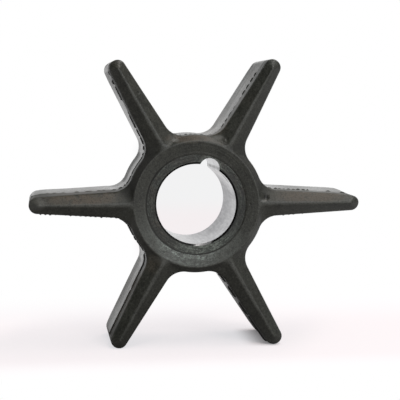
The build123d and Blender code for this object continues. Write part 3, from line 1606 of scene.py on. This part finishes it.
    def _crest(self, mesh: RingMesh, end: int) -> Crest:
        """Add the crest at one end, where the two flanks of each vane share their points.

        Args:
            mesh: where the points go.
            end: -1 at the front, 1 at the back.

        Returns:
            The crest.
        """
        steps = self.along_steps + self.hub_steps
        points = self.full_ring(1.0, end * self.half_width)
        numbers = mesh.ring(self.bend(self.wear_tip(points)), self._wear_and_highlight(points, 1.0))
        shared, around = numbers.copy(), []
        for tip in range(steps, len(numbers), 2 * steps):
            for j in range(self.along_steps + 1):
                shared[tip + j] = numbers[tip - j]
            around += range(tip - steps, tip - self.along_steps + 1)
            around += range(tip + self.along_steps + 1, tip + steps)
        spokes = points[around] * (1, 0, 1)
        spokes /= np.linalg.norm(spokes, axis=1)[:, None]
        return Crest(shared, shared[around], spokes)

    def _rows(
        self, straight: np.ndarray, outward: np.ndarray, flash: np.ndarray, dark: np.ndarray
    ) -> Iterator[tuple[np.ndarray, float, np.ndarray]]:
        """Walk over the moulding from the front crest, down the sides, to the back crest.

        Args:
            straight: the outline of the straight sides.
            outward: the way out of the rubber at each of its points.
            flash: the height of the flash at each point.
            dark: the painted shade on the flash's cut face there.

        Yields:
            Each row's points, how far in it is, and how much painted shade it has.
        """
        profile = self.roof_profile()
        for share, rise in reversed(profile):
            row = self.full_ring(share, -(self.half_body + rise))
            yield row, share, self.bay_shade(row)
        for y, height in self.side_rows():
            row = straight + outward * (flash * height)[:, None]
            row[:, 1] = y
            yield row, 0.0, dark * height
        for share, rise in profile:
            row = self.full_ring(share, self.half_body + rise)
            yield row, share, self.bay_shade(row)

    def _collar(self, mesh: RingMesh, end: int, crest: Crest) -> np.ndarray:
        """Add the dished collar at one end.

        Args:
            mesh: where the points and faces go.
            end: -1 at the front, 1 at the back.
            crest: the crest at that end.

        Returns:
            The numbers of the collar's last ring, in the sleeve's seat.
        """
        previous = crest.loop
        for k, (radius, depth) in enumerate(self.inner_rows()):
            points = crest.spokes * radius
            points[:, 1] = end * depth
            # the rim's wear and painted highlight, and the lip's painted highlight
            wear_and_highlight = self.rim_wear_and_highlight(points) if k < self.rim_rows else 0.0
            if self.seat_radius < radius < self.lip_highlight_to:
                wear_and_highlight = self.lip_highlight_and_pale(points)
            # painted shade at the sleeve's seat
            dark_and_painted_shade = self.seat_shade(points) if radius < self.lip_outer else 0.0
            numbers = mesh.ring(points, wear_and_highlight, dark_and_painted_shade)
            mesh.skin(*((numbers, previous) if end < 0 else (previous, numbers)))
            previous = numbers
        return previous

    def _wear_and_highlight(self, points: np.ndarray, share: float) -> np.ndarray:
        """How much wear a row has: most on the crests, and less towards the vanes' ends; on the hub
        it takes the rim's wear and painted highlight.

        Args:
            points: the row's points.
            share: how far in it is.

        Returns:
            A number from 0 to about 1 for each point.
        """
        fade = ramp(self.vane_end - radii(points), *self.crest_wear_to_end)
        fade = between(self.least_end_wear, 1.0, fade)
        on_hub = np.where(radii(points) < self.hub_radius, self.rim_wear_and_highlight(points), 1.0)
        return ramp(share, *self.crest_wear) * fade * on_hub

    def rim_wear_and_highlight(self, points: np.ndarray) -> np.ndarray:
        """How much wear and painted highlight the rim has: a little wear all round, and a painted
        highlight most at the lower left, less at the upper right.
        """
        return self.least_rim_wear + self.low_rim_highlight.share(points) + self.high_rim_highlight.share(points)

    def lip_highlight_and_pale(self, points: np.ndarray) -> np.ndarray:
        """How pale the lip round the sleeve is: a painted highlight along its lower left, and paler
        beside the keyway.
        """
        low = self.low_lip_highlight_strength * self.low_lip_highlight.share(points) ** self.low_lip_power
        return low + self.lip_by_keyway.share(points)

    def seat_shade(self, points: np.ndarray) -> np.ndarray:
        """How much painted shade the gap at the sleeve's seat has: most round the lower left, least
        at the upper right.
        """
        return self.least_seat_shade + self.seat_shade_side.share(points)

    def bay_shade(self, points: np.ndarray) -> np.ndarray:
        """How much painted shade the hub's bevel has: only in two bays between vanes."""
        bays = [bay.share(points) for bay in self.shaded_bays]
        return np.maximum(*bays) * ramp(radii(points), *self.bay_shade_radius)


# --------------------------------------------------------------------- metal sleeve
class SleevePart(IntEnum):
    """A part of the sleeve's surface, numbered as its finishes are."""

    BORE = 0
    FACE = 1
    MOUTH = 2


@dataclass
class HubSleeve:
    """Keyed metal sleeve in the hub: bright bore, chamfered mouths, filmed end faces."""

    bore: float = 7.85
    chamfer: float = 0.35
    outer: float = 9.7
    half_length: float = 9.75
    keyway_centre: float = 7.45
    keyway_radius: float = 2.0
    keyway_turn: float = math.radians(69.5)
    face_rows: Rows = (1.0, 0.85, 0.6, 0.35, 0.12, 0.0)
    bore_reach: float = 9.0
    bore_rows: int = 10
    round_steps: int = 264
    keyway_steps: int = 28
    bore_finish: BoreFinish = field(default_factory=BoreFinish)
    film_finish: FilmFinish = field(default_factory=FilmFinish)
    mouth_finish: MouthFinish = field(default_factory=MouthFinish)

    def inner_edge(self, radius: float) -> np.ndarray:
        """The opening's edge where the round part has this radius.

        Args:
            radius: of the bore, or of its chamfer.

        Returns:
            Rows of distance from the axis and angle about it.
        """
        centre, key = self.keyway_centre, self.keyway_radius
        half = math.acos((radius**2 + centre**2 - key**2) / (2 * radius * centre))
        swing = math.atan2(radius * math.sin(half), radius * math.cos(half) - centre)
        on_key = np.linspace(-swing, swing, self.keyway_steps, endpoint=False)
        across, out = key * np.sin(on_key), centre + key * np.cos(on_key)
        keyway = np.stack((np.hypot(out, across), np.arctan2(across, out)), 1)
        turns = np.linspace(half, 2 * math.pi - half, self.round_steps, endpoint=False)
        around = np.stack((np.full(len(turns), radius), turns), 1)
        edge = np.concatenate((keyway, around))
        edge[:, 1] += self.keyway_turn
        return edge

    def row(self, edge: np.ndarray, outward: float, y: float) -> np.ndarray:
        """Points between the opening's edge and the sleeve's outside.

        Args:
            edge: rows of distance and angle.
            outward: 0 on the edge, 1 on the outside.
            y: the depth along the bore.

        Returns:
            Rows of three millimetres.
        """
        radius = between(edge[:, 0], self.outer, outward)
        return np.stack(
            (radius * np.cos(edge[:, 1]), np.full(len(edge), y), radius * np.sin(edge[:, 1])), 1
        )

    def build(self) -> bpy.types.Object:
        """Make the sleeve.

        Returns:
            The object, with its three finishes.
        """
        mesh = RingMesh()
        mouth = self.inner_edge(self.bore + self.chamfer)
        bore = self.inner_edge(self.bore)
        part, front, back = SleevePart, -self.half_length, self.half_length
        middle = np.linspace(-self.bore_reach, self.bore_reach, self.bore_rows)
        rows = [(mouth, outward, front, part.FACE) for outward in self.face_rows]
        rows += [(bore, 0.0, front + self.chamfer, part.MOUTH)]
        rows += [(bore, 0.0, y, part.BORE) for y in (*middle, back - self.chamfer)]
        rows += [(mouth, 0.0, back, part.MOUTH)]
        rows += [(mouth, outward, back, part.FACE) for outward in self.face_rows[-2::-1]]
        rings = [(mesh.ring(self.row(e, o, y)), slot) for e, o, y, slot in rows]
        for (one, _), (other, slot) in zip(rings, rings[1:]):
            mesh.skin(other, one, slot)
        mesh.skin(rings[0][0], rings[-1][0], part.FACE)
        finishes = (self.bore_finish, self.film_finish, self.mouth_finish)
        return mesh.build("hub_sleeve", [finish.material() for finish in finishes])


# ---------------------------------------------------------------------------- studio
@dataclass(frozen=True)
class FloorFinish(Finish):
    """Matt pale floor: tinted near the impeller, white further off, with a painted shadow behind
    the bore and painted light in reflections at the right.

    The painted shadow is a grey strip that widens like a beam that starts at through_eye and runs
    through the bore.
    """

    name: str = "pale floor"
    pale: Colour = (1.0, 0.83, 0.82)
    bounce: Colour = (0.40, 0.39, 0.39)
    glow_colour: Colour = (1.146, 1.146, 1.182)
    white: Colour = (1.0, 1.0, 1.0)
    through_near: Colour = (0.908, 0.860, 0.870)
    through_far: Colour = (0.885, 0.885, 0.890)
    glow: float = 0.58
    tint_front: Pair = (-18.0, -38.0)
    tint_back: Pair = (10.0, 72.0)
    sunny: Pair = (-10.0, 70.0)
    sunny_share: float = 0.5
    foot_x: Span = (9.0, 15.5, 15.5, 17.5)
    foot_y: Span = (-11.0, -6.0, 8.0, 13.0)
    foot_dim: float = 0.8
    through_eye: Pair = (-30.3, -271.0)
    through_half: Pair = (12.4, 9.0)
    through_y: Span = (120.0, 200.0, 1050.0, 1500.0)
    through_turn: Pair = (260.0, 420.0)

    def paint(self, bench: ShaderBench, place: Place) -> None:
        """Add the nodes of the floor.

        Args:
            bench: where nodes are added.
            place: the shaded point.
        """
        x, y = place.x, place.y
        behind = y.rise(*self.tint_back)
        far = behind.larger(y.rise(*self.tint_front))
        path = bench.add("ShaderNodeLightPath")
        seen = bench.value(path, "Is Camera Ray")
        mirrored = bench.value(path, "Is Glossy Ray")
        matt = bench.add(
            "ShaderNodeBsdfDiffuse", None, {"Color": bench.mix(seen, self.bounce, self.pale)}
        )
        # painted shadow: a grey strip on the floor behind the bore
        eye_x, eye_y = self.through_eye
        reach = (y - eye_y) / -eye_y
        aside = abs(x - eye_x + eye_x * reach) / reach
        strip = aside.rise(*self.through_half) * y.within(self.through_y)
        through = bench.mix(y.rise(*self.through_turn), self.through_near, self.through_far)
        colour = bench.mix(strip, bench.mix(far, self.glow_colour, self.white), through)
        light = bench.add("ShaderNodeEmission", None, {"Color": colour})
        # painted light: in reflections the floor glows towards the right
        sunny = x.rise(*self.sunny) * self.sunny_share
        foot = x.within(self.foot_x) * y.within(self.foot_y)
        glow = self.glow * (1.0 - self.foot_dim * foot)
        share = (seen * between(glow, 1.0, far)).larger(mirrored * behind.larger(sunny))
        both = bench.add(
            "ShaderNodeMixShader", None, {0: share, 1: matt.outputs[0], 2: light.outputs[0]}
        )
        bench.add("ShaderNodeOutputMaterial", None, {"Surface": both.outputs[0]})


@dataclass
class Lamp:
    """One soft lamp that points at the middle of the impeller."""

    name: str
    place: tuple[float, float, float]
    size: Pair
    power: float
    colour: Colour = (1.0, 1.0, 1.0)

    def build(self) -> bpy.types.Object:
        """Make the lamp.

        Returns:
            The lamp's object.
        """
        data = bpy.data.lights.new(self.name, "AREA")
        data.shape = "RECTANGLE"
        data.size, data.size_y = (side * MM for side in self.size)
        data.energy = self.power
        data.color = self.colour
        lamp = bpy.data.objects.new(self.name, data)
        lamp.location = Vector(self.place) * MM
        lamp.rotation_euler = Vector(self.place).to_track_quat("Z", "Y").to_euler()
        lamp.visible_camera = False
        bpy.context.scene.collection.objects.link(lamp)
        return lamp


@dataclass
class Studio:
    """Floor, lamps and surroundings."""

    floor_gap: float = 0.02
    floor_half: float = 4000.0
    surround_left: float = 0.18
    surround_right: float = 0.36
    left_level: float = 0.05
    right_level: float = 0.26
    front_level: float = 0.55
    soft_x: Pair = (-0.9, 0.9)
    mirrored_x: Pair = (-0.7, 0.8)
    mirrored_front: Pair = (-0.75, -1.0)
    mirrored_back: Pair = (0.15, 0.75)
    lamps: tuple[Lamp, ...] = (
        Lamp("top strip", (360.0, -150.0, 1200.0), (2400.0, 260.0), 10.0, (1.0, 0.965, 0.93)),
        Lamp("front window", (300.0, -900.0, 420.0), (420.0, 420.0), 4.0, (0.98, 1.0, 0.99)),
    )
    finish: FloorFinish = field(default_factory=FloorFinish)

    def build_floor(self, lowest: float) -> bpy.types.Object:
        """Make the floor.

        Args:
            lowest: the height in metres of the lowest point that stands on it.

        Returns:
            The floor's object.
        """
        half, level = self.floor_half * MM, lowest - self.floor_gap * MM
        corners = ((-half, -half), (half, -half), (half, half), (-half, half))
        mesh = bpy.data.meshes.new("floor")
        mesh.from_pydata([(x, y, level) for x, y in corners], [], [(0, 1, 2, 3)])
        mesh.materials.append(self.finish.material())
        floor = bpy.data.objects.new("floor", mesh)
        bpy.context.scene.collection.objects.link(floor)
        floor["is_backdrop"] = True
        return floor

    def build_surroundings(self) -> None:
        """Light the world: white behind, dim to the left, soft all round."""
        world = bpy.data.worlds.new("studio")
        bench = ShaderBench(world)
        path = bench.add("ShaderNodeLightPath")
        x, y, _ = bench.parts(bench.add("ShaderNodeTexCoord").outputs["Generated"])
        sides = between(self.left_level, self.right_level, x.rise(*self.mirrored_x))
        mirrored = between(sides, self.front_level, y.rise(*self.mirrored_front))
        mirrored = between(mirrored, 1.0, y.rise(*self.mirrored_back))
        soft = between(self.surround_left, self.surround_right, x.rise(*self.soft_x))
        level = between(soft, mirrored, bench.value(path, "Is Glossy Ray"))
        seen = bench.value(path, "Is Camera Ray").larger(bench.value(path, "Is Transmission Ray"))
        level = between(level, 1.0, seen)
        background = bench.add(
            "ShaderNodeBackground", None, {"Color": (1.0, 1.0, 1.0, 1.0), "Strength": level}
        )
        bench.add("ShaderNodeOutputWorld", None, {"Surface": background.outputs[0]})
        bpy.context.scene.world = world
        bpy.context.scene.view_settings.view_transform = "Standard"


@dataclass
class Viewpoint:
    """The camera: a long lens, a little left of the bore's axis and above it."""

    aim: tuple[float, float, float] = (0.0, -8.9, 0.0)
    distance: float = 264.7
    azimuth: float = math.radians(6.6)
    height: float = math.radians(4.32)
    roll: float = math.radians(0.262)
    lens: float = 121.5
    film: float = 36.0
    clip: Pair = (0.01, 20.0)
    shift: Pair = (0.0100, 0.0097)

    def build(self) -> bpy.types.Object:
        """Make the camera.

        Returns:
            The camera's object.
        """
        across = math.cos(self.height)
        back = Vector(
            (
                -math.sin(self.azimuth) * across,
                -math.cos(self.azimuth) * across,
                math.sin(self.height),
            )
        )
        level_right = Vector((0, 0, 1)).cross(back).normalized()
        level_up = back.cross(level_right)
        right = math.cos(self.roll) * level_right - math.sin(self.roll) * level_up
        up = back.cross(right)
        data = bpy.data.cameras.new("camera")
        data.lens = self.lens
        data.sensor_width = self.film
        data.shift_x, data.shift_y = self.shift
        data.clip_start, data.clip_end = self.clip
        camera = bpy.data.objects.new("camera", data)
        turned = Matrix((right, up, back)).transposed().to_4x4()
        spot = (Vector(self.aim) + back * self.distance) * MM
        camera.matrix_world = Matrix.Translation(spot) @ turned
        bpy.context.scene.collection.objects.link(camera)
        bpy.context.scene.camera = camera
        return camera


def report(piece: bpy.types.Object) -> None:
    """Log one piece's name and how fine it is."""
    mesh = piece.data
    log.info("%s: %d points, %d faces", piece.name, len(mesh.vertices), len(mesh.polygons))


def write_sizes() -> None:
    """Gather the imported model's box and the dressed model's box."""
    boxes = {
        name: [list(corner) for corner in box]
        for name, box in (("cad", CAD_BOX), ("visual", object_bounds()))
    }


def main() -> None:
    """Build the impeller and its studio."""
    logging.basicConfig(level=logging.INFO, format="%(message)s")
    pieces: list[tuple[Callable[[], bpy.types.Object], str, str]] = [
        (RubberMoulding().build, "rubber_body", "rubber"),
        (HubSleeve().build, "hub_insert", "insert_metal"),
    ]
    for make, node, slot in pieces:
        piece = make()
        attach(piece, BODY)
        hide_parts(node)
        report(piece)
    studio = Studio()
    report(studio.build_floor(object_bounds()[0][2]))
    studio.build_surroundings()
    for lamp in studio.lamps:
        log.info("lamp: %s", lamp.build().name)
    log.info("camera: %s", Viewpoint().build().name)
    write_sizes()


if __name__ == "__main__":
    main()
